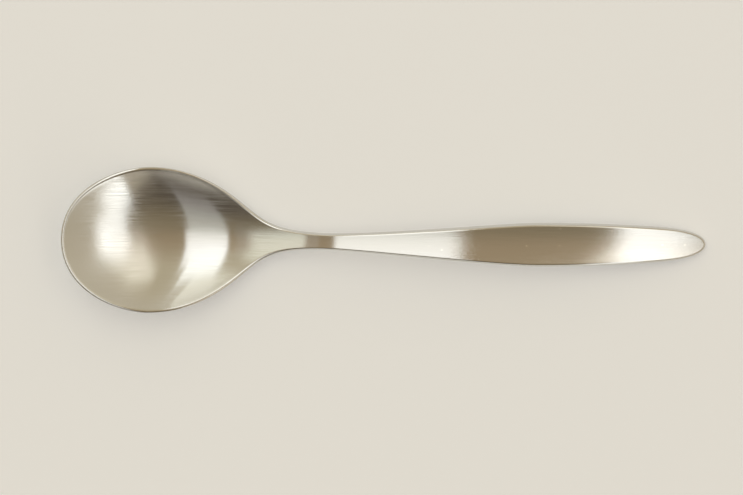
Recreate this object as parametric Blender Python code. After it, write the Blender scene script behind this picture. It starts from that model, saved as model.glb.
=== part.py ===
"""A coffee spoon, pressed and forged from one piece of stainless steel.

Metres, +Z up. The spoon lies as it does on a table: it touches with the underside of
its bowl and of its handle's tip. +X runs from the bowl to the handle's tip, and the
origin is the middle of the space that the spoon takes up, at the table's height.
"""
from bisect import bisect_right
from math import atan2, cos, pi, radians, sin, tan

import bmesh
import bpy
from mathutils import Matrix, Vector
from mathutils.geometry import interpolate_bezier

# Lengths along the spoon, each from where the one before it ends.
BOWL_FRONT = 0.0183          # bowl's tip to its widest place
BOWL_SHOULDER = 0.0201       # widest place to where the outline turns hollow
NECK_FILLET = 0.0166         # hollow run into the narrowest place
HANDLE_SWELL = 0.0445        # narrowest place to the handle's widest
HANDLE_TAPER = 0.0252        # widest place to where the round end begins
HANDLE_END = 0.0103          # round end

# Widths, edge to edge.
BOWL_WIDTH = 0.0304
SHOULDER_WIDTH = 0.0132      # where the outline turns hollow
NECK_WIDTH = 0.0035
HANDLE_WIDTH = 0.0092
TAPER_WIDTH = 0.0075         # where the round end begins

# How far each curve of the outline follows its tangent, and how steep it runs.
NOSE_ROUND = 0.0106
FRONT_CROWN = 0.0066
SHOULDER_CROWN = 0.0107
SHOULDER_LEAD = 0.0036
FILLET_LEAD = 0.0047
NECK_LEAD = 0.0107
SWELL_LEAD = 0.0095
WIDEST_LEAD = 0.0081
TAPER_START = 0.0069
END_LEAD = 0.0097
TIP_ROUND = 0.0009
SHOULDER_ANGLE = radians(38.1)
TAPER_ANGLE = radians(4.0)

# Lean of the face along the middle line: downhill is negative, towards the handle.
NOSE_LEAN = radians(-25.3)
NOSE_RUN = 0.0186            # bowl's tip to where the nose has begun to level out
NOSE_RUN_LEAN = radians(-14.9)
FLOOR_SETBACK = 0.0129       # bowl's floor behind the widest place
FLOOR_REACH = 0.0054         # from the floor to where the bowl leans up on either side
FLOOR_FRONT_LEAN = radians(-6.1)
FLOOR_REAR_LEAN = radians(11.9)
REAR_WALL_SETBACK = 0.0107   # steepest place behind the end of the shoulder
REAR_WALL_LEAN = radians(14.9)
NECK_LEAN = radians(11.6)
CREST_SETBACK = 0.0226       # handle's crest behind the narrowest place
ARCH_RUN = 0.0195            # crest to where the handle has turned down
ARCH_LEAN = radians(-7.3)
STRAIGHT_SETBACK = 0.0160    # end of the handle's straighter run, before the round end
STRAIGHT_LEAN = radians(-8.3)
TAPER_LEAN = radians(-10.6)
TIP_LEAN = radians(-11.1)

# Radii across: the face is a shallow trough all the way along.
NOSE_TROUGH_RADIUS = 0.0205
BOWL_TROUGH_RADIUS = 0.0225
SHOULDER_TROUGH_RADIUS = 0.0145
HANDLE_TROUGH_RADIUS = 0.0300
WALL_STEEPENING = 0.13       # share by which the bowl is deeper at its edge than a parabola

# Thicknesses in the middle and at the edge, and the reach of the rounded edge.
NOSE_THICKNESS = 0.00120
FLOOR_THICKNESS = 0.00135
NECK_THICKNESS = 0.00280
HANDLE_THICKNESS = 0.00235
TIP_THICKNESS = 0.00180
RIM_THICKNESS = 0.00095
NECK_EDGE_THICKNESS = 0.00195
HANDLE_EDGE_THICKNESS = 0.00200
TIP_EDGE_THICKNESS = 0.00160
RIM_ROUND = 0.00047
NECK_ROUND = 0.00050
HANDLE_ROUND = 0.00055
TIP_ROUND_REACH = 0.00060

CONTACT_DEPTH = 0.00018      # depth of the flat worn where the bowl rests
SETTLING_PASSES = 6          # turns after which both ends touch the table

# Where the ribs that carry the surface start on the middle line at the two round ends.
NOSE_HUB = 0.0075            # behind the bowl's tip
TIP_HUB = 0.0016             # before the handle's tip
RIB_LEAN = 0.6               # 0 is straight across, 1 is square to the outline

# Facets.
RIBS = {"front": 18, "shoulder": 16, "fillet": 12, "swell": 16, "taper": 9, "end": 14}
FACE_STEPS = 6
EDGE_STEPS = 4
BACK_STEPS = 6
HEIGHT_STEP = 0.00025        # step in which the face's height is summed along the spoon
LARGEST_CORNER = 0.9         # share of a rib that its rounded edge may take
SEAM_REACH = 0.00001         # within which the two halves' middle points are joined

STEEL_COLOUR = (0.74, 0.71, 0.66, 1.0)
STEEL_ROUGHNESS = 0.28
STEEL_ANISOTROPY = 0.6

WIDEST_X = BOWL_FRONT
SHOULDER_X = WIDEST_X + BOWL_SHOULDER
NECK_X = SHOULDER_X + NECK_FILLET
SWELL_X = NECK_X + HANDLE_SWELL
TAPER_X = SWELL_X + HANDLE_TAPER
LENGTH = TAPER_X + HANDLE_END
FLOOR_X = WIDEST_X + FLOOR_SETBACK
REAR_WALL_X = SHOULDER_X + REAR_WALL_SETBACK
CREST_X = NECK_X + CREST_SETBACK


class Course:
    """A smooth run of values along the spoon through a few stations."""

    def __init__(self, *stations):
        self.places = [place for place, _ in stations]
        self.values = [value for _, value in stations]
        last = len(stations) - 1
        self.slopes = []
        for i in range(len(stations)):
            low, high = max(i - 1, 0), min(i + 1, last)
            rise = self.values[high] - self.values[low]
            self.slopes.append(rise / (self.places[high] - self.places[low]))

    def at(self, x):
        x = min(max(x, self.places[0]), self.places[-1])
        i = min(max(bisect_right(self.places, x) - 1, 0), len(self.places) - 2)
        span = self.places[i + 1] - self.places[i]
        u = (x - self.places[i]) / span
        start = (1 + 2 * u) * (1 - u) ** 2 * self.values[i]
        end = u * u * (3 - 2 * u) * self.values[i + 1]
        bend = u * (1 - u) ** 2 * self.slopes[i] - u * u * (1 - u) * self.slopes[i + 1]
        return start + end + bend * span


lean = Course(
    (0.0, NOSE_LEAN),
    (NOSE_RUN, NOSE_RUN_LEAN),
    (FLOOR_X - FLOOR_REACH, FLOOR_FRONT_LEAN),
    (FLOOR_X + FLOOR_REACH, FLOOR_REAR_LEAN),
    (REAR_WALL_X, REAR_WALL_LEAN),
    (NECK_X, NECK_LEAN),
    (CREST_X, 0.0),
    (CREST_X + ARCH_RUN, ARCH_LEAN),
    (TAPER_X - STRAIGHT_SETBACK, STRAIGHT_LEAN),
    (TAPER_X, TAPER_LEAN),
    (LENGTH, TIP_LEAN),
)
trough = Course(
    (0.0, 0.5 / NOSE_TROUGH_RADIUS),
    (WIDEST_X, 0.5 / BOWL_TROUGH_RADIUS),
    (SHOULDER_X, 0.5 / SHOULDER_TROUGH_RADIUS),
    (NECK_X, 0.5 / HANDLE_TROUGH_RADIUS),
    (LENGTH, 0.5 / HANDLE_TROUGH_RADIUS),
)
thickness = Course(
    (0.0, NOSE_THICKNESS),
    (FLOOR_X, FLOOR_THICKNESS),
    (NECK_X, NECK_THICKNESS),
    (SWELL_X, HANDLE_THICKNESS),
    (LENGTH, TIP_THICKNESS),
)
edge_thickness = Course(
    (0.0, RIM_THICKNESS),
    (SHOULDER_X, RIM_THICKNESS),
    (NECK_X, NECK_EDGE_THICKNESS),
    (SWELL_X, HANDLE_EDGE_THICKNESS),
    (LENGTH, TIP_EDGE_THICKNESS),
)
edge_round = Course(
    (0.0, RIM_ROUND),
    (SHOULDER_X, RIM_ROUND),
    (NECK_X, NECK_ROUND),
    (SWELL_X, HANDLE_ROUND),
    (LENGTH, TIP_ROUND_REACH),
)


def summed_heights():
    """Height of the face's middle line at even steps, summed from its lean."""
    heights = [0.0]
    while (len(heights) - 1) * HEIGHT_STEP < LENGTH:
        middle = (len(heights) - 0.5) * HEIGHT_STEP
        heights.append(heights[-1] + tan(lean.at(middle)) * HEIGHT_STEP)
    return heights


MIDDLE_HEIGHTS = summed_heights()


def face_height(x, y):
    place = max(x / HEIGHT_STEP, 0.0)
    i = min(int(place), len(MIDDLE_HEIGHTS) - 2)
    middle = MIDDLE_HEIGHTS[i] + (MIDDLE_HEIGHTS[i + 1] - MIDDLE_HEIGHTS[i]) * (place - i)
    steepening = 1 + WALL_STEEPENING * (y / (BOWL_WIDTH / 2)) ** 2
    return middle + trough.at(x) * y * y * steepening


def face_normal(x, y):
    steepening = 1 + 2 * WALL_STEEPENING * (y / (BOWL_WIDTH / 2)) ** 2
    across = 2 * trough.at(x) * y * steepening
    step = HEIGHT_STEP
    trough_change = (trough.at(x + step) - trough.at(x - step)) / (2 * step)
    along = tan(lean.at(x)) + trough_change * y * y
    return Vector((-along, -across, 1.0)).normalized()


def outline_curves():
    """The outline's upper half as Bezier curves: name, four points."""
    nose = Vector((0.0, 0.0))
    widest = Vector((WIDEST_X, BOWL_WIDTH / 2))
    shoulder = Vector((SHOULDER_X, SHOULDER_WIDTH / 2))
    neck = Vector((NECK_X, NECK_WIDTH / 2))
    swell = Vector((SWELL_X, HANDLE_WIDTH / 2))
    taper = Vector((TAPER_X, TAPER_WIDTH / 2))
    tip = Vector((LENGTH, 0.0))
    along = Vector((1.0, 0.0))
    across = Vector((0.0, 1.0))
    inward = Vector((cos(SHOULDER_ANGLE), -sin(SHOULDER_ANGLE)))
    narrowing = Vector((cos(TAPER_ANGLE), -sin(TAPER_ANGLE)))
    return [
        ("front", nose, nose + across * NOSE_ROUND, widest - along * FRONT_CROWN, widest),
        ("shoulder", widest, widest + along * SHOULDER_CROWN,
         shoulder - inward * SHOULDER_LEAD, shoulder),
        ("fillet", shoulder, shoulder + inward * FILLET_LEAD, neck - along * NECK_LEAD, neck),
        ("swell", neck, neck + along * SWELL_LEAD, swell - along * WIDEST_LEAD, swell),
        ("taper", swell, swell + along * TAPER_START, taper - narrowing * END_LEAD, taper),
        ("end", taper, taper + narrowing * END_LEAD, tip + across * TIP_ROUND, tip),
    ]


def rib_lines():
    """Pairs of plan points: a rib's start on the middle line and its end on the outline."""
    ribs = []
    for name, start, out, back, end in outline_curves():
        points = [p.to_2d() for p in interpolate_bezier(start, out, back, end, RIBS[name] + 1)]
        for i, point in enumerate(points[:-1] if name != "end" else points):
            share = i / RIBS[name]
            if name == "front":
                hub = NOSE_HUB + (WIDEST_X - NOSE_HUB) * share
            elif name == "end":
                first = TAPER_X - RIB_LEAN * tan(TAPER_ANGLE) * TAPER_WIDTH / 2
                hub = first + (LENGTH - TIP_HUB - first) * share
            else:
                before = points[i - 1] if i else points[0]
                after = points[i + 1]
                hub = point.x + RIB_LEAN * point.y * (after.y - before.y) / (after.x - before.x)
            ribs.append((Vector((hub, 0.0)), point))
    return ribs


def rib_section(hub, rim):
    """Points of the solid over one rib: out along the face, round the edge, back below."""
    edge = edge_thickness.at(rim.x)
    belly = max(thickness.at(rim.x) - edge, 0.0)
    rim_normal = face_normal(rim.x, rim.y)
    foot = rim + rim_normal.to_2d() * edge / 2
    reach = (foot - hub).length
    corner = min(edge_round.at(rim.x), LARGEST_CORNER * reach)

    def layer(inset, side, fullness):
        """One point: its distance in from the edge, face or back, and share of thickness."""
        share = 1 - inset / reach
        place = hub + (foot - hub) * share
        normal = face_normal(place.x, place.y)
        depth = edge / 2 - side * edge / 2 * fullness
        if side < 0:
            depth += belly * (1 - share * share) * fullness
        surface = Vector((place.x, place.y, face_height(place.x, place.y)))
        return surface - normal * depth

    turns = [pi / 2 * i / EDGE_STEPS for i in range(EDGE_STEPS + 1)]
    section = []
    for i in range(FACE_STEPS):
        section.append(layer(reach - (reach - corner) * i / FACE_STEPS, 1, 1.0))
    for turn in reversed(turns):
        section.append(layer(corner * (1 - cos(turn)), 1, sin(turn)))
    for turn in turns[1:]:
        section.append(layer(corner * (1 - cos(turn)), -1, sin(turn)))
    for i in range(1, BACK_STEPS + 1):
        section.append(layer(corner + (reach - corner) * i / BACK_STEPS, -1, 1.0))
    return section


def laid_on_table(sections):
    """Pitch the spoon until bowl and handle both touch, lower it by the worn flat, centre it."""
    points = [p for section in sections for p in section]
    for _ in range(SETTLING_PASSES):
        bowl_foot = min((p for p in points if p.x < NECK_X), key=lambda p: p.z)
        handle_foot = min((p for p in points if p.x > SWELL_X), key=lambda p: p.z)
        pitch = atan2(handle_foot.z - bowl_foot.z, handle_foot.x - bowl_foot.x)
        turn = Matrix.Rotation(pitch, 3, "Y")
        points = [turn @ p for p in points]
    middle = (min(p.x for p in points) + max(p.x for p in points)) / 2
    lowest = min(p.z for p in points)
    shift = Vector((-middle, 0.0, -lowest - CONTACT_DEPTH))
    points = [p + shift for p in points]
    for p in points:
        p.z = max(p.z, 0.0)
    count = len(sections[0])
    return [points[i:i + count] for i in range(0, len(points), count)]


def half_spoon_mesh():
    """The half at +Y, open along the middle, as quads between neighbouring ribs."""
    sections = laid_on_table([rib_section(hub, rim) for hub, rim in rib_lines()])
    bm = bmesh.new()
    rows = [[bm.verts.new(point) for point in section] for section in sections]
    for row, following in zip(rows, rows[1:]):
        for i in range(len(row) - 1):
            bm.faces.new((row[i], following[i], following[i + 1], row[i + 1]))
    for vert in rows[0] + rows[-1]:
        vert.co.y = 0.0
    mesh = bpy.data.meshes.new("spoon")
    bm.to_mesh(mesh)
    bm.free()
    return mesh


def steel_material():
    material = bpy.data.materials.new("satin_steel")
    material.use_nodes = True
    shader = material.node_tree.nodes["Principled BSDF"]
    shader.inputs["Base Color"].default_value = STEEL_COLOUR
    shader.inputs["Metallic"].default_value = 1.0
    shader.inputs["Roughness"].default_value = STEEL_ROUGHNESS
    shader.inputs["Anisotropic"].default_value = STEEL_ANISOTROPY
    return material


def build_spoon():
    mesh = half_spoon_mesh()
    mesh.shade_smooth()
    mesh.materials.append(steel_material())
    spoon = bpy.data.objects.new("spoon", mesh)
    bpy.context.collection.objects.link(spoon)
    mirror = spoon.modifiers.new("other half", "MIRROR")
    mirror.use_axis = (False, True, False)
    mirror.use_mirror_merge = True
    mirror.merge_threshold = SEAM_REACH
    return spoon


for leftover in list(bpy.data.objects):
    bpy.data.objects.remove(leftover, do_unlink=True)
build_spoon()
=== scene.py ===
"""Looks for a coffee spoon in satin stainless steel: fine surface, brushed metal, light, camera.

Metres, +Z up. +X runs from the bowl to the handle's tip and the spoon lies on Z = 0.
"""

from bisect import bisect_right
from math import atan2, cos, pi, radians, sin, tan

import bmesh
import bpy
from mathutils import Matrix, Vector
from mathutils.geometry import interpolate_bezier


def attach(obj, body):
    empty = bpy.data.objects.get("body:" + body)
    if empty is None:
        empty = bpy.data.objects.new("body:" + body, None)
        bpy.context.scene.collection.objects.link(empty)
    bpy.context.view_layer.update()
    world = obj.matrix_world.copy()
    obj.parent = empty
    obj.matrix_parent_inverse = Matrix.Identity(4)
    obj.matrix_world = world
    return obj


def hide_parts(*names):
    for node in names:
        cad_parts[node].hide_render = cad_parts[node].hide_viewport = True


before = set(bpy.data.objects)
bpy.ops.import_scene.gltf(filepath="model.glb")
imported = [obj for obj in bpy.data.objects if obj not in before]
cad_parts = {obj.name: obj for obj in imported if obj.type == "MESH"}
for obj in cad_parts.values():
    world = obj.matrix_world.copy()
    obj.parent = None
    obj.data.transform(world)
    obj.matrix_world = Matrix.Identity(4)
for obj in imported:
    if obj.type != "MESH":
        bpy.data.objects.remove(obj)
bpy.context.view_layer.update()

# Sizes of the spoon, the same as the solid's.
# Lengths along the spoon, each from where the one before it ends.
BOWL_FRONT = 0.0183          # bowl's tip to its widest place
BOWL_SHOULDER = 0.0201       # widest place to where the outline turns hollow
NECK_FILLET = 0.0166         # hollow run into the narrowest place
HANDLE_SWELL = 0.0445        # narrowest place to the handle's widest
HANDLE_TAPER = 0.0252        # widest place to where the round end begins
HANDLE_END = 0.0103          # round end

# Widths, edge to edge.
BOWL_WIDTH = 0.0304
SHOULDER_WIDTH = 0.0132      # where the outline turns hollow
NECK_WIDTH = 0.0035
HANDLE_WIDTH = 0.0092
TAPER_WIDTH = 0.0075         # where the round end begins

# How far each curve of the outline follows its tangent, and how steep it runs.
NOSE_ROUND = 0.0106
FRONT_CROWN = 0.0066
SHOULDER_CROWN = 0.0107
SHOULDER_LEAD = 0.0036
FILLET_LEAD = 0.0047
NECK_LEAD = 0.0107
SWELL_LEAD = 0.0095
WIDEST_LEAD = 0.0081
TAPER_START = 0.0069
END_LEAD = 0.0097
TIP_ROUND = 0.0009
SHOULDER_ANGLE = radians(38.1)
TAPER_ANGLE = radians(4.0)

# Lean of the face along the middle line: downhill is negative, towards the handle.
NOSE_LEAN = radians(-25.3)
NOSE_RUN = 0.0186            # bowl's tip to where the nose has begun to level out
NOSE_RUN_LEAN = radians(-14.9)
FLOOR_SETBACK = 0.0129       # bowl's floor behind the widest place
FLOOR_REACH = 0.0054         # from the floor to where the bowl leans up on either side
FLOOR_FRONT_LEAN = radians(-6.1)
FLOOR_REAR_LEAN = radians(11.9)
REAR_WALL_SETBACK = 0.0107   # steepest place behind the end of the shoulder
REAR_WALL_LEAN = radians(14.9)
NECK_LEAN = radians(11.6)
CREST_SETBACK = 0.0226       # handle's crest behind the narrowest place
ARCH_RUN = 0.0195            # crest to where the handle has turned down
ARCH_LEAN = radians(-7.3)
STRAIGHT_SETBACK = 0.0160    # end of the handle's straighter run, before the round end
STRAIGHT_LEAN = radians(-8.3)
TAPER_LEAN = radians(-10.6)
TIP_LEAN = radians(-11.1)

# Radii across: the face is a shallow trough all the way along.
NOSE_TROUGH_RADIUS = 0.0205
BOWL_TROUGH_RADIUS = 0.0225
SHOULDER_TROUGH_RADIUS = 0.0145
HANDLE_TROUGH_RADIUS = 0.0300
WALL_STEEPENING = 0.13       # share by which the bowl is deeper at its edge than a parabola

# Thicknesses in the middle and at the edge, and the reach of the rounded edge.
NOSE_THICKNESS = 0.00120
FLOOR_THICKNESS = 0.00135
NECK_THICKNESS = 0.00280
HANDLE_THICKNESS = 0.00235
TIP_THICKNESS = 0.00180
RIM_THICKNESS = 0.00095
NECK_EDGE_THICKNESS = 0.00195
HANDLE_EDGE_THICKNESS = 0.00200
TIP_EDGE_THICKNESS = 0.00160
RIM_ROUND = 0.00047
NECK_ROUND = 0.00050
HANDLE_ROUND = 0.00055
TIP_ROUND_REACH = 0.00060

CONTACT_DEPTH = 0.00018      # depth of the flat worn where the bowl rests
SETTLING_PASSES = 6          # turns after which both ends touch the table

# Where the ribs that carry the surface start on the middle line at the two round ends.
NOSE_HUB = 0.0075            # behind the bowl's tip
TIP_HUB = 0.0016             # before the handle's tip
RIB_LEAN = 0.6               # 0 is straight across, 1 is square to the outline
HEIGHT_STEP = 0.00025        # step in which the face's height is summed along the spoon
LARGEST_CORNER = 0.9         # share of a rib that its rounded edge may take

# Facets of the fine surface.
RIBS = {"front": 60, "shoulder": 54, "fillet": 40, "swell": 60, "taper": 34, "end": 44}
FACE_STEPS = 22
EDGE_STEPS = 10
BACK_STEPS = 18
SMALLEST_EDGE = 1e-7         # edges shorter than this are dissolved
MAP_UNIT = 0.050             # length of one unit of the lengthways map

WIDEST_X = BOWL_FRONT
SHOULDER_X = WIDEST_X + BOWL_SHOULDER
NECK_X = SHOULDER_X + NECK_FILLET
SWELL_X = NECK_X + HANDLE_SWELL
TAPER_X = SWELL_X + HANDLE_TAPER
LENGTH = TAPER_X + HANDLE_END
FLOOR_X = WIDEST_X + FLOOR_SETBACK
REAR_WALL_X = SHOULDER_X + REAR_WALL_SETBACK
CREST_X = NECK_X + CREST_SETBACK


class Course:
    """A smooth run of values along the spoon through a few stations."""

    def __init__(self, *stations):
        self.places = [place for place, _ in stations]
        self.values = [value for _, value in stations]
        last = len(stations) - 1
        self.slopes = []
        for i in range(len(stations)):
            low, high = max(i - 1, 0), min(i + 1, last)
            rise = self.values[high] - self.values[low]
            self.slopes.append(rise / (self.places[high] - self.places[low]))

    def at(self, x):
        x = min(max(x, self.places[0]), self.places[-1])
        i = min(max(bisect_right(self.places, x) - 1, 0), len(self.places) - 2)
        span = self.places[i + 1] - self.places[i]
        u = (x - self.places[i]) / span
        start = (1 + 2 * u) * (1 - u) ** 2 * self.values[i]
        end = u * u * (3 - 2 * u) * self.values[i + 1]
        bend = u * (1 - u) ** 2 * self.slopes[i] - u * u * (1 - u) * self.slopes[i + 1]
        return start + end + bend * span


lean = Course(
    (0.0, NOSE_LEAN),
    (NOSE_RUN, NOSE_RUN_LEAN),
    (FLOOR_X - FLOOR_REACH, FLOOR_FRONT_LEAN),
    (FLOOR_X + FLOOR_REACH, FLOOR_REAR_LEAN),
    (REAR_WALL_X, REAR_WALL_LEAN),
    (NECK_X, NECK_LEAN),
    (CREST_X, 0.0),
    (CREST_X + ARCH_RUN, ARCH_LEAN),
    (TAPER_X - STRAIGHT_SETBACK, STRAIGHT_LEAN),
    (TAPER_X, TAPER_LEAN),
    (LENGTH, TIP_LEAN),
)
trough = Course(
    (0.0, 0.5 / NOSE_TROUGH_RADIUS),
    (WIDEST_X, 0.5 / BOWL_TROUGH_RADIUS),
    (SHOULDER_X, 0.5 / SHOULDER_TROUGH_RADIUS),
    (NECK_X, 0.5 / HANDLE_TROUGH_RADIUS),
    (LENGTH, 0.5 / HANDLE_TROUGH_RADIUS),
)
thickness = Course(
    (0.0, NOSE_THICKNESS),
    (FLOOR_X, FLOOR_THICKNESS),
    (NECK_X, NECK_THICKNESS),
    (SWELL_X, HANDLE_THICKNESS),
    (LENGTH, TIP_THICKNESS),
)
edge_thickness = Course(
    (0.0, RIM_THICKNESS),
    (SHOULDER_X, RIM_THICKNESS),
    (NECK_X, NECK_EDGE_THICKNESS),
    (SWELL_X, HANDLE_EDGE_THICKNESS),
    (LENGTH, TIP_EDGE_THICKNESS),
)
edge_round = Course(
    (0.0, RIM_ROUND),
    (SHOULDER_X, RIM_ROUND),
    (NECK_X, NECK_ROUND),
    (SWELL_X, HANDLE_ROUND),
    (LENGTH, TIP_ROUND_REACH),
)


def summed_heights():
    """Height of the face's middle line at even steps, summed from its lean."""
    heights = [0.0]
    while (len(heights) - 1) * HEIGHT_STEP < LENGTH:
        middle = (len(heights) - 0.5) * HEIGHT_STEP
        heights.append(heights[-1] + tan(lean.at(middle)) * HEIGHT_STEP)
    return heights


MIDDLE_HEIGHTS = summed_heights()


def face_height(x, y):
    place = max(x / HEIGHT_STEP, 0.0)
    i = min(int(place), len(MIDDLE_HEIGHTS) - 2)
    middle = MIDDLE_HEIGHTS[i] + (MIDDLE_HEIGHTS[i + 1] - MIDDLE_HEIGHTS[i]) * (place - i)
    steepening = 1 + WALL_STEEPENING * (y / (BOWL_WIDTH / 2)) ** 2
    return middle + trough.at(x) * y * y * steepening


def face_normal(x, y):
    steepening = 1 + 2 * WALL_STEEPENING * (y / (BOWL_WIDTH / 2)) ** 2
    across = 2 * trough.at(x) * y * steepening
    step = HEIGHT_STEP
    trough_change = (trough.at(x + step) - trough.at(x - step)) / (2 * step)
    along = tan(lean.at(x)) + trough_change * y * y
    return Vector((-along, -across, 1.0)).normalized()


def outline_curves():
    """The outline's upper half as Bezier curves: name, four points."""
    nose = Vector((0.0, 0.0))
    widest = Vector((WIDEST_X, BOWL_WIDTH / 2))
    shoulder = Vector((SHOULDER_X, SHOULDER_WIDTH / 2))
    neck = Vector((NECK_X, NECK_WIDTH / 2))
    swell = Vector((SWELL_X, HANDLE_WIDTH / 2))
    taper = Vector((TAPER_X, TAPER_WIDTH / 2))
    tip = Vector((LENGTH, 0.0))
    along = Vector((1.0, 0.0))
    across = Vector((0.0, 1.0))
    inward = Vector((cos(SHOULDER_ANGLE), -sin(SHOULDER_ANGLE)))
    narrowing = Vector((cos(TAPER_ANGLE), -sin(TAPER_ANGLE)))
    return [
        ("front", nose, nose + across * NOSE_ROUND, widest - along * FRONT_CROWN, widest),
        ("shoulder", widest, widest + along * SHOULDER_CROWN,
         shoulder - inward * SHOULDER_LEAD, shoulder),
        ("fillet", shoulder, shoulder + inward * FILLET_LEAD, neck - along * NECK_LEAD, neck),
        ("swell", neck, neck + along * SWELL_LEAD, swell - along * WIDEST_LEAD, swell),
        ("taper", swell, swell + along * TAPER_START, taper - narrowing * END_LEAD, taper),
        ("end", taper, taper + narrowing * END_LEAD, tip + across * TIP_ROUND, tip),
    ]


def rib_lines():
    """Pairs of plan points: a rib's start on the middle line and its end on the outline."""
    ribs = []
    for name, start, out, back, end in outline_curves():
        points = [p.to_2d() for p in interpolate_bezier(start, out, back, end, RIBS[name] + 1)]
        for i, point in enumerate(points[:-1] if name != "end" else points):
            share = i / RIBS[name]
            if name == "front":
                hub = NOSE_HUB + (WIDEST_X - NOSE_HUB) * share
            elif name == "end":
                first = TAPER_X - RIB_LEAN * tan(TAPER_ANGLE) * TAPER_WIDTH / 2
                hub = first + (LENGTH - TIP_HUB - first) * share
            else:
                before = points[i - 1] if i else points[0]
                after = points[i + 1]
                hub = point.x + RIB_LEAN * point.y * (after.y - before.y) / (after.x - before.x)
            ribs.append((Vector((hub, 0.0)), point))
    return ribs


def rib_section(hub, rim):
    """Points of the solid over one rib: out along the face, round the edge, back below."""
    edge = edge_thickness.at(rim.x)
    belly = max(thickness.at(rim.x) - edge, 0.0)
    rim_normal = face_normal(rim.x, rim.y)
    foot = rim + rim_normal.to_2d() * edge / 2
    reach = (foot - hub).length
    corner = min(edge_round.at(rim.x), LARGEST_CORNER * reach)

    def layer(inset, side, fullness):
        """One point: its distance in from the edge, face or back, and share of thickness."""
        share = 1 - inset / reach
        place = hub + (foot - hub) * share
        normal = face_normal(place.x, place.y)
        depth = edge / 2 - side * edge / 2 * fullness
        if side < 0:
            depth += belly * (1 - share * share) * fullness
        surface = Vector((place.x, place.y, face_height(place.x, place.y)))
        return surface - normal * depth

    turns = [pi / 2 * i / EDGE_STEPS for i in range(EDGE_STEPS + 1)]
    section = []
    for i in range(FACE_STEPS):
        section.append(layer(reach - (reach - corner) * i / FACE_STEPS, 1, 1.0))
    for turn in reversed(turns):
        section.append(layer(corner * (1 - cos(turn)), 1, sin(turn)))
    for turn in turns[1:]:
        section.append(layer(corner * (1 - cos(turn)), -1, sin(turn)))
    for i in range(1, BACK_STEPS + 1):
        section.append(layer(corner + (reach - corner) * i / BACK_STEPS, -1, 1.0))
    return section


def laid_on_table(sections):
    """Pitch the spoon until bowl and handle both touch, lower it by the worn flat, centre it."""
    points = [p for section in sections for p in section]
    for _ in range(SETTLING_PASSES):
        bowl_foot = min((p for p in points if p.x < NECK_X), key=lambda p: p.z)
        handle_foot = min((p for p in points if p.x > SWELL_X), key=lambda p: p.z)
        pitch = atan2(handle_foot.z - bowl_foot.z, handle_foot.x - bowl_foot.x)
        turn = Matrix.Rotation(pitch, 3, "Y")
        points = [turn @ p for p in points]
    middle = (min(p.x for p in points) + max(p.x for p in points)) / 2
    lowest = min(p.z for p in points)
    shift = Vector((-middle, 0.0, -lowest - CONTACT_DEPTH))
    points = [p + shift for p in points]
    for p in points:
        p.z = max(p.z, 0.0)
    count = len(sections[0])
    return [points[i:i + count] for i in range(0, len(points), count)]


def fine_spoon():
    """The whole spoon as one smooth closed mesh, with a flat map whose rows run lengthways."""
    sections = laid_on_table([rib_section(hub, rim) for hub, rim in rib_lines()])
    last = len(sections[0]) - 1
    face_end = FACE_STEPS
    back_start = FACE_STEPS + 2 * EDGE_STEPS
    bm = bmesh.new()
    grid = bm.loops.layers.uv.new("lengthways")
    rows = []
    for section in sections:
        row = []
        for i, point in enumerate(section):
            middle = i in (0, last)
            near = bm.verts.new((point.x, 0.0 if middle else point.y, point.z))
            far = near if middle else bm.verts.new((point.x, -point.y, point.z))
            row.append((near, far))
        rows.append(row)
    unrolled = [unrolled_edge(section, face_end, back_start) for section in sections]
    for k in range(len(rows) - 1):
        for i in range(last):
            places = [(k, i), (k + 1, i), (k + 1, i + 1), (k, i + 1)]
            for side in (0, 1):
                verts = [rows[a][b][side] for a, b in places]
                wound = places if side == 0 else places[::-1]
                if side:
                    verts = verts[::-1]
                face = bm.faces.new(verts)
                face.smooth = True
                for loop, (a, b) in zip(face.loops, wound):
                    if face_end <= i < back_start:
                        u, v = unrolled[a][b - face_end]
                    else:
                        u, v = sections[a][b].y, sections[a][b].x
                    loop[grid].uv = ((u, -u)[side] / MAP_UNIT, v / MAP_UNIT)
    bmesh.ops.dissolve_degenerate(bm, dist=SMALLEST_EDGE, edges=bm.edges)
    bmesh.ops.recalc_face_normals(bm, faces=bm.faces)
    mesh = bpy.data.meshes.new("spoon_surface")
    bm.to_mesh(mesh)
    bm.free()
    spoon = bpy.data.objects.new("spoon_surface", mesh)
    bpy.context.collection.objects.link(spoon)
    return spoon


def unrolled_edge(section, first, last):
    """Flat places of an edge's points: laid outwards from where the edge starts to turn."""
    start = section[first]
    inner = section[first - 1]
    out = (start - inner).to_2d().normalized()
    travelled = 0.0
    places = []
    for i in range(first, last + 1):
        if i > first:
            travelled += (section[i] - section[i - 1]).length
        places.append((start.y + out.y * travelled, start.x + out.x * travelled))
    return places


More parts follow.
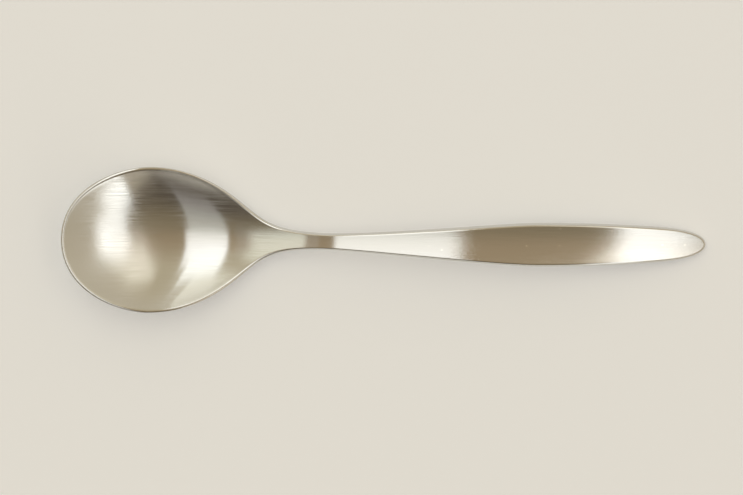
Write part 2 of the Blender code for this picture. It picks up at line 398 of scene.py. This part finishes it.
class Nodes:
    """Short ways to add and link shader nodes."""

    def __init__(self, tree):
        self.tree = tree

    def add(self, kind, **values):
        node = self.tree.nodes.new(kind)
        for name, value in values.items():
            if name in node.inputs:
                node.inputs[name].default_value = value
            else:
                setattr(node, name, value)
        return node

    def link(self, start, end):
        self.tree.links.new(start, end)

    def maths(self, operation, a, b):
        node = self.tree.nodes.new("ShaderNodeMath")
        node.operation = operation
        for socket, value in zip(node.inputs, (a, b)):
            if hasattr(value, "is_linked"):
                self.tree.links.new(value, socket)
            else:
                socket.default_value = value
        return node.outputs[0]

    def eased(self, value, before, after, start, end):
        """Goes smoothly from before to after while the value goes from start to end."""
        node = self.add("ShaderNodeMapRange", interpolation_type="SMOOTHSTEP")
        limits = {"From Min": start, "From Max": end, "To Min": before, "To Max": after}
        for name, limit in limits.items():
            node.inputs[name].default_value = limit
        self.tree.links.new(value, node.inputs["Value"])
        return node.outputs["Result"]

    def ramp(self, factor, stops):
        node = self.tree.nodes.new("ShaderNodeValToRGB")
        elements = node.color_ramp.elements
        while len(elements) > 1:
            elements.remove(elements[-1])
        for i, (place, colour) in enumerate(stops):
            element = elements[0] if i == 0 else elements.new(place)
            element.position = place
            element.color = (*colour, 1.0)
        self.tree.links.new(factor, node.inputs["Fac"])
        return node.outputs["Color"]

    def blend(self, share, first, second):
        """Colour that goes from the first to the second as the share goes from 0 to 1."""
        node = self.add("ShaderNodeMix", data_type="RGBA")
        self.tree.links.new(share, node.inputs["Factor"])
        # Sockets 6 and 7 are the two colours, and output 2 is the colour between them.
        for socket, colour in zip((node.inputs[6], node.inputs[7]), (first, second)):
            if hasattr(colour, "is_linked"):
                self.tree.links.new(colour, socket)
            else:
                socket.default_value = (*colour, 1.0)
        return node.outputs[2]


# Colours of the brushed steel.
STEEL_COLOUR = (0.705, 0.70, 0.675)
DULL_STROKE = (0.69, 0.685, 0.655)
BRIGHT_STROKE = (0.72, 0.715, 0.695)
SPECK_COLOUR = (0.94, 0.93, 0.90)

# Brushing: marks per map unit across and along the spoon, and how much finer detail they hold.
STREAKS = (230.0, 5.0, 2.0)
FINE_MARKS = (600.0, 14.0, 3.0)
STROKES = (260.0, 4.0, 4.0)
STREAK_SHARE = 0.65          # the fine marks make up the rest
BRUSH_CONTRAST = 0.6

# Stretches over which the brushing changes, in map units from the spoon's middle.
NECK_APPROACH = (-0.60, -0.30)
FIRST_OF_NECK = (-0.60, -0.42)
START_OF_HANDLE = (-0.10, 0.20)
LAST_OF_HANDLE = (0.45, 0.85)
SPECKS_SET_IN = (0.10, 0.30)
NEAR_TO_FAR_SIDE = (-0.06, 0.12)

BOWL_ROUGHNESS = 0.17
HANDLE_ROUGHNESS = 0.12
BOWL_UNEVENNESS = 0.52
HANDLE_UNEVENNESS = 0.16
NEAR_SIDE_SHARE = 0.55       # how uneven the near side is beside the far one

RELIEF_HEIGHT = 0.00001
BOWL_RELIEF = 0.45
NECK_RELIEF = 0.25
HANDLE_RELIEF = 1.3
TIP_RELIEF = 0.65

SPECK_CELLS = 14.0           # cells per map unit, each of which may hold one speck
BARE_CELLS = 0.60            # share of the cells without one
SPECK_EDGE = (0.02, 0.07)    # where a speck starts to fade and where it ends, in cells
SPECK_STRENGTH = 0.75


def satin_steel():
    """Steel brushed lengthways: blurred across the brushing, sharp along it."""
    material = bpy.data.materials.new("satin_steel")
    material.use_nodes = True
    kit = Nodes(material.node_tree)
    shader = material.node_tree.nodes["Principled BSDF"]
    shader.inputs["Metallic"].default_value = 1.0
    shader.inputs["Anisotropic"].default_value = 1.0
    tangent = kit.add("ShaderNodeTangent", direction_type="UV_MAP", uv_map="lengthways")
    kit.link(tangent.outputs["Tangent"], shader.inputs["Tangent"])

    where = kit.add("ShaderNodeUVMap", uv_map="lengthways")
    parts = kit.add("ShaderNodeSeparateXYZ")
    kit.link(where.outputs["UV"], parts.inputs[0])
    across = parts.outputs["X"]
    along = parts.outputs["Y"]
    streaks = kit.maths("MULTIPLY", brushing(kit, where, *STREAKS), STREAK_SHARE)
    marks = kit.maths("MULTIPLY", brushing(kit, where, *FINE_MARKS), 1 - STREAK_SHARE)
    both = kit.maths("ADD", streaks, marks)
    kit.link(brushed_roughness(kit, both, across, along), shader.inputs["Roughness"])
    relief = kit.add("ShaderNodeBump", Strength=1.0, Distance=RELIEF_HEIGHT)
    kit.link(kit.maths("MULTIPLY", both, relief_depth(kit, along)), relief.inputs["Height"])
    kit.link(relief.outputs["Normal"], shader.inputs["Normal"])

    # Single brush strokes are a shade paler or darker than the rest.
    strokes = brushing(kit, where, *STROKES)
    tones = kit.ramp(strokes, [(0.30, DULL_STROKE), (0.48, STEEL_COLOUR), (0.70, BRIGHT_STROKE)])
    surface = kit.blend(worn_specks(kit, where, along), tones, SPECK_COLOUR)
    kit.link(surface, shader.inputs["Base Color"])
    return material


def brushing(kit, where, across, along, detail):
    """Noise drawn out lengthways, as marks in the metal."""
    stretch = kit.add("ShaderNodeMapping", Scale=(across, along, 1.0))
    kit.link(where.outputs["UV"], stretch.inputs["Vector"])
    marks = kit.add("ShaderNodeTexNoise", Scale=1.0, Detail=detail, Roughness=BRUSH_CONTRAST)
    kit.link(stretch.outputs["Vector"], marks.inputs["Vector"])
    return marks.outputs["Fac"]


def brushed_roughness(kit, marks, across, along):
    """The bowl's hollow is rougher and less even than the handle, most of all at its far side."""
    middle = kit.eased(along, BOWL_ROUGHNESS, HANDLE_ROUGHNESS, *NECK_APPROACH)
    spread = kit.eased(along, BOWL_UNEVENNESS, HANDLE_UNEVENNESS, *NECK_APPROACH)
    side = kit.eased(across, NEAR_SIDE_SHARE, 1.0, *NEAR_TO_FAR_SIDE)
    spread = kit.maths("MULTIPLY", spread, side)
    uneven = kit.maths("MULTIPLY", kit.maths("SUBTRACT", marks, 0.5), spread)
    return kit.maths("ADD", middle, uneven)


def relief_depth(kit, along):
    """The marks are shallow at the neck, deep in the handle and half as deep at its tip."""
    shallower = kit.eased(along, BOWL_RELIEF, NECK_RELIEF, *FIRST_OF_NECK)
    deeper = kit.eased(along, NECK_RELIEF, HANDLE_RELIEF, *START_OF_HANDLE)
    fading = kit.eased(along, HANDLE_RELIEF, TIP_RELIEF, *LAST_OF_HANDLE)
    return kit.maths("MINIMUM", kit.maths("MAXIMUM", shallower, deeper), fading)


def worn_specks(kit, where, along):
    """Share of bright wear: a few tiny specks on the handle."""
    cells = kit.add("ShaderNodeTexVoronoi", voronoi_dimensions="2D", Scale=SPECK_CELLS)
    kit.link(where.outputs["UV"], cells.inputs["Vector"])
    chance = kit.add("ShaderNodeSeparateColor")
    kit.link(cells.outputs["Color"], chance.inputs["Color"])
    dots = kit.eased(cells.outputs["Distance"], SPECK_STRENGTH, 0.0, *SPECK_EDGE)
    chosen = kit.maths("GREATER_THAN", chance.outputs["Red"], BARE_CELLS)
    worn = kit.maths("MULTIPLY", dots, chosen)
    return kit.maths("MULTIPLY", worn, kit.eased(along, 0.0, 1.0, *SPECKS_SET_IN))


FLOOR_SIZE = 6.0
FLOOR_COLOUR = (0.88, 0.87, 0.84)
FLOOR_GLOW = (0.15, 0.16, 0.18)


def build_floor():
    bpy.ops.mesh.primitive_plane_add(size=FLOOR_SIZE, location=(0, 0, 0))
    floor = bpy.context.object
    floor.name = "floor"
    material = bpy.data.materials.new("pale_floor")
    material.use_nodes = True
    shader = material.node_tree.nodes["Principled BSDF"]
    shader.inputs["Base Color"].default_value = (*FLOOR_COLOUR, 1.0)
    shader.inputs["Roughness"].default_value = 0.9
    shader.inputs["Specular IOR Level"].default_value = 0.1
    # Seen by eye or in a mirror the floor is paler, without giving more light to the object.
    kit = Nodes(material.node_tree)
    path = kit.add("ShaderNodeLightPath")
    seen = kit.maths("MAXIMUM", path.outputs["Is Camera Ray"], path.outputs["Is Glossy Ray"])
    seen = kit.maths("MAXIMUM", seen, path.outputs["Is Transmission Ray"])
    kit.link(seen, shader.inputs["Emission Strength"])
    shader.inputs["Emission Color"].default_value = (*FLOOR_GLOW, 1.0)
    floor.data.materials.append(material)


# The camera looks down from a little to the +Y side, and the picture's top is +Y.
TILT = radians(6.0)
TURN = radians(0.79)
DISTANCE = 0.45
SEEN_WIDTH = 0.1573
LOOK_AT = Vector((-0.00306, -0.00174, 0.0))
SENSOR_WIDTH = 36.0
NEAREST_SEEN = 0.01


def build_camera():
    data = bpy.data.cameras.new("camera")
    camera = bpy.data.objects.new("camera", data)
    bpy.context.collection.objects.link(camera)
    turn = Matrix.Rotation(TURN, 3, "Z") @ Matrix.Rotation(-TILT, 3, "X")
    camera.location = LOOK_AT + turn @ Vector((0.0, 0.0, DISTANCE))
    camera.rotation_euler = turn.to_euler()
    data.sensor_width = SENSOR_WIDTH
    data.lens = SENSOR_WIDTH * DISTANCE / SEEN_WIDTH
    data.clip_start = NEAREST_SEEN
    bpy.context.scene.camera = camera


# Heights at which the soft lamps hang.
CEILING = 1.80
TIP_LAMP_HEIGHT = 1.40
RIGHT_HEIGHT = 1.00


def softbox(name, place, size, watts, colour, turn=0.0, height=CEILING):
    data = bpy.data.lights.new(name, "AREA")
    data.shape = "RECTANGLE"
    data.size, data.size_y = size
    data.energy = watts
    data.color = colour
    lamp = bpy.data.objects.new(name, data)
    lamp.location = (*place, height)
    lamp.rotation_euler = (0.0, 0.0, radians(turn))
    bpy.context.collection.objects.link(lamp)


def build_lamps():
    """A wide soft window on the left and a narrow one on the right, each in strips that dim."""
    softbox("left_near", (-0.263, 0.53), (0.975, 0.94), 3.4, (0.87, 0.93, 1.0))
    softbox("left_far", (-0.32, 1.475), (0.86, 0.95), 2.95, (0.89, 0.96, 1.0))
    softbox("left_skirt", (-0.29, -1.075), (0.92, 1.25), 1.04, (0.89, 0.99, 1.0))
    softbox("left_step", (-0.255, -0.19), (0.99, 0.52), 1.55, (0.92, 0.98, 1.0))
    softbox("left_dim", (-0.29, -2.45), (0.92, 1.50), 0.88, (1.0, 0.96, 0.97))
    softbox("left_fill", (-1.46, 0.25), (0.75, 1.80), 2.75, (0.91, 1.0, 0.94))
    softbox("far_fill", (-0.80, 3.50), (1.15, 3.00), 5.2, (0.95, 1.0, 0.94))
    softbox("right_softbox", (0.628, -0.56), (0.13, 1.28), 0.575, (0.95, 0.98, 1.0), 5.4, RIGHT_HEIGHT)
    softbox("right_tip", (0.901, -0.15), (0.062, 0.50), 0.045, (0.85, 0.94, 1.0), 0.0, TIP_LAMP_HEIGHT)
    softbox("right_far", (1.04, -2.50), (0.20, 2.90), 2.35, (0.93, 0.97, 1.0), 13.5, RIGHT_HEIGHT)
    softbox("right_fill", (0.955, 0.76), (0.43, 1.55), 1.3, (1.0, 0.985, 0.92), 6.5)
    softbox("right_step", (0.588, 0.19), (0.125, 0.24), 0.05, (0.78, 0.90, 1.0), 0.0, RIGHT_HEIGHT)
    softbox("right_glow", (0.95, -0.27), (0.21, 0.70), 0.072, (1.0, 0.98, 0.92), 4.0)
    softbox("left_gap", (-1.00, 0.0), (0.17, 1.80), 0.08, (0.70, 0.85, 1.0))


# The room's own colours, all warm and from dark to pale.
DARK_FRONT = (0.10, 0.08, 0.06)
LEFT_WALL = (0.15, 0.14, 0.12)
DIM_CEILING = (0.235, 0.19, 0.12)
CEILING_COLOUR = (0.375, 0.285, 0.18)
BACK_WALL = (0.53, 0.46, 0.32)
RIGHT_WALL = (0.55, 0.485, 0.37)
HORIZON_COLOUR = (0.66, 0.61, 0.52)
HORIZON_BAND = (0.10, 0.24)  # upward part of the view direction, from plain horizon to room
ROOM_STRENGTH = 1.1

# How much of the side walls shows over the colours that run from front to back.
NO_WALL = (0.0, 0.0, 0.0)
LEFT_SHARE = (0.15, 0.15, 0.15)
RIGHT_SHARE = (0.85, 0.85, 0.85)
RIGHT_END_SHARE = (0.90, 0.90, 0.90)


def room_angle(kit, side, up):
    """Angle that runs from 0 at one horizon through 0.5 overhead to 1 at the other."""
    turned = kit.maths("ARCTAN2", side, up)
    return kit.maths("ADD", kit.maths("DIVIDE", turned, pi), 0.5)


def build_room():
    """A warm room: dark in front of the table, paler behind it and on its right."""
    world = bpy.data.worlds.new("room")
    bpy.context.scene.world = world
    world.use_nodes = True
    kit = Nodes(world.node_tree)
    place = kit.add("ShaderNodeTexCoord")
    parts = kit.add("ShaderNodeSeparateXYZ")
    kit.link(place.outputs["Generated"], parts.inputs[0])
    up = parts.outputs["Z"]
    depth = room_angle(kit, parts.outputs["Y"], up)
    width = room_angle(kit, parts.outputs["X"], up)
    front_to_back = kit.ramp(depth, [
        (0.10, DARK_FRONT), (0.22, DARK_FRONT), (0.34, DIM_CEILING), (0.41, DIM_CEILING),
        (0.46, CEILING_COLOUR), (0.54, CEILING_COLOUR), (0.61, BACK_WALL), (0.80, BACK_WALL),
        (1.0, HORIZON_COLOUR),
    ])
    sides = kit.ramp(width, [
        (0.0, LEFT_WALL), (0.5, LEFT_WALL), (0.501, RIGHT_WALL), (1.0, RIGHT_WALL),
    ])
    share = kit.ramp(width, [
        (0.0, LEFT_SHARE), (0.27, LEFT_SHARE), (0.32, NO_WALL),
        (0.68, NO_WALL), (0.71, RIGHT_SHARE), (1.0, RIGHT_END_SHARE),
    ])
    walls = kit.blend(share, front_to_back, sides)
    # Near the horizon the room is one plain colour all round.
    room = kit.blend(kit.eased(up, 0.0, 1.0, *HORIZON_BAND), HORIZON_COLOUR, walls)
    background = world.node_tree.nodes["Background"]
    kit.link(room, background.inputs["Color"])
    background.inputs["Strength"].default_value = ROOM_STRENGTH


build_camera()
build_floor()
build_lamps()
build_room()
spoon = fine_spoon()
spoon.data.materials.append(satin_steel())
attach(spoon, "root")
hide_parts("spoon")

scene = bpy.context.scene
scene.view_settings.view_transform = "Standard"
